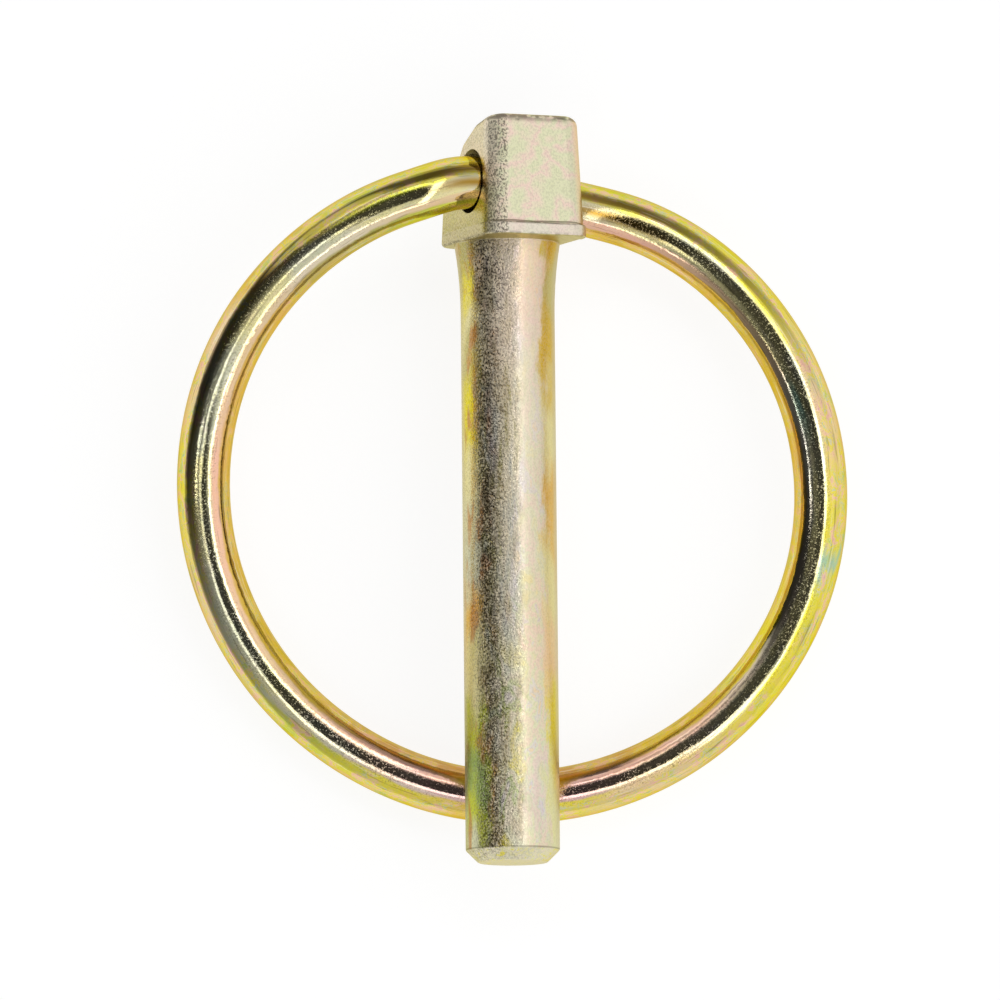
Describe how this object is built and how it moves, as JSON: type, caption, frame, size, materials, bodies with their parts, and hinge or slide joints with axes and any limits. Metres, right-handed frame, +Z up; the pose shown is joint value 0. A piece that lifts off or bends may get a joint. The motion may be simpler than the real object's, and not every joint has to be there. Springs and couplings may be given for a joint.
{
  "type": "linch pin",
  "caption": "Linch pin: forged round shank with a chamfered tip and block head, and a sprung wire ring that swings on the cross-drilled head and shuts behind the shank.",
  "frame": {"origin": "on the ground under the centre of the lying part's bounding box", "axes": "+Z up, +Y along the shank from tip to head, +X to the right seen from above"},
  "size_m": [0.0428, 0.0478, 0.0107],
  "materials": {
    "forged_pin": "satin yellow zinc plating over a forged, slightly grainy surface",
    "ring_wire": "bright yellow zinc plating on drawn wire, with pink and green patches"
  },
  "bodies": {
    "pin": {"pin_body": "forged_pin"},
    "ring": {"spring_ring": "ring_wire"}
  },
  "joints": [
    {"name": "ring_swing", "type": "hinge", "parent": "pin", "child": "ring", "pos_m": [0.00065, 0.01884, 0.0058], "axis": [0.9015, -0.2173, -0.3741], "range_deg": [-1.3, 180], "stiffness_Nm_per_rad": 0.05, "springref_deg": -20.05}
  ]
}
